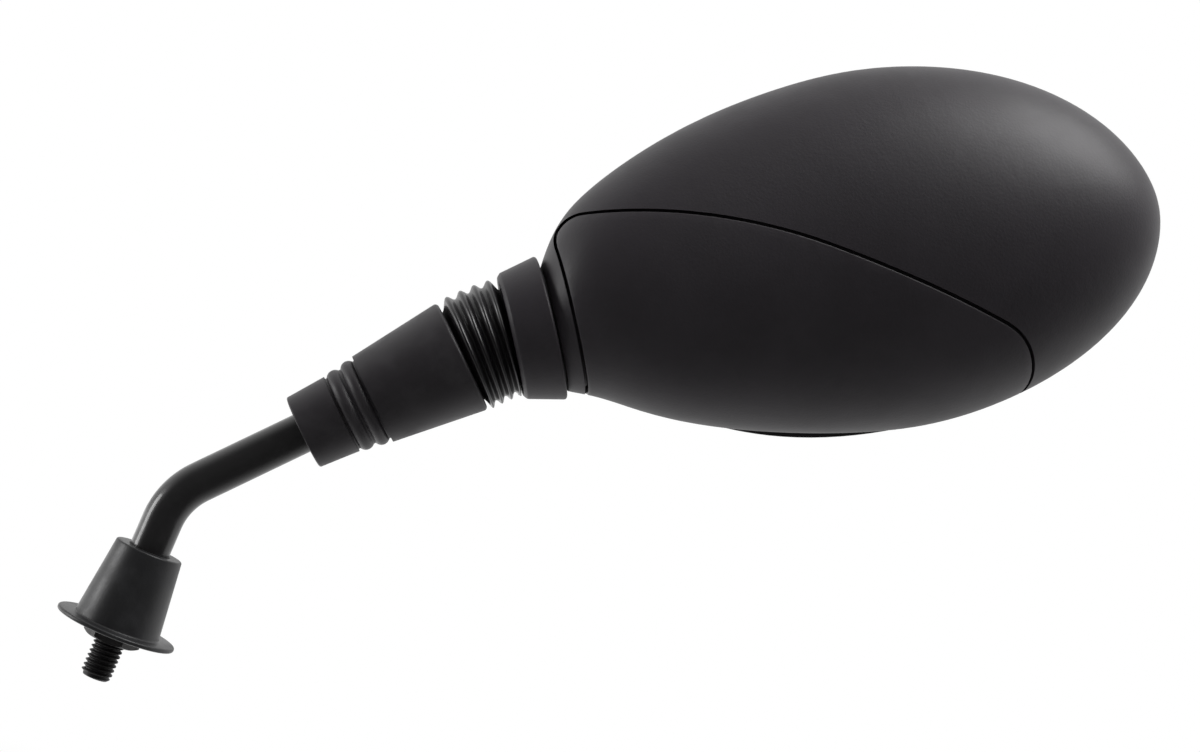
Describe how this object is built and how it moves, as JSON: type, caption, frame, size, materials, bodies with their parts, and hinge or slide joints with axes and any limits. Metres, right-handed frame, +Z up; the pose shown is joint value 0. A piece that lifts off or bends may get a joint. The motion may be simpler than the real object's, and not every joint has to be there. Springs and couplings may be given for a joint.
{
  "type": "motorcycle mirror",
  "caption": "Rear-view mirror with an egg-shaped black housing on a ball joint under a rubber bellows, carried by a bent rod with a threaded stud and lock nut.",
  "frame": {"origin": "on the stud's axis, at the lock nut's bearing face", "axes": "+Z up along the stud, away from the thread's free end; +X towards the head; +Y the way the glass faces, towards the rider"},
  "size_m": [0.2292, 0.0495, 0.2385],
  "materials": {
    "rod_paint": "gloss black paint on steel",
    "nut_steel": "black oxide steel",
    "boot_rubber": "satin moulded rubber",
    "sleeve_rubber": "matte moulded rubber",
    "bellows_rubber": "smooth rubber with a soft shine",
    "ball_steel": "polished steel",
    "seat_plastic": "natural acetal",
    "socket_plastic": "glass-filled black nylon",
    "spring_steel": "zinc plated steel",
    "housing_plastic": "finely grained black moulding",
    "frame_plastic": "satin black moulding",
    "pad_foam": "closed-cell foam",
    "mirror_coat": "silvered convex glass"
  },
  "bodies": {
    "stem": {"stem": "rod_paint", "lock_nut": "nut_steel", "base_boot": "boot_rubber", "stem_sleeve": "sleeve_rubber", "bellows": "bellows_rubber"},
    "ball": {"pivot_ball": "ball_steel"},
    "seat": {"ball_seat": "seat_plastic"},
    "head": {"ball_socket": "socket_plastic", "pressure_cup": "seat_plastic", "disc_spring": "spring_steel", "thrust_washer": "spring_steel", "collar": "housing_plastic", "neck_screws": "spring_steel", "back_shell": "housing_plastic", "lower_cover": "housing_plastic", "glass_pad": "pad_foam", "mirror_glass": "mirror_coat", "glass_frame": "frame_plastic"}
  },
  "joints": [
    {"name": "head_twist", "type": "hinge", "parent": "stem", "child": "ball", "pos_m": [0.06018, 0, 0.10949], "axis": [0.6574, 0, 0.7536], "range_deg": [-20, 20], "deforming": ["bellows"]},
    {"name": "head_lift", "type": "hinge", "parent": "ball", "child": "seat", "pos_m": [0.06018, 0, 0.10949], "axis": [0, -1, 0], "range_deg": [-7, 22], "deforming": ["bellows"]},
    {"name": "head_pan", "type": "hinge", "parent": "seat", "child": "head", "pos_m": [0.06018, 0, 0.10949], "axis": [-0.585, 0, 0.8111], "range_deg": [-15, 15], "deforming": ["bellows"]}
  ]
}
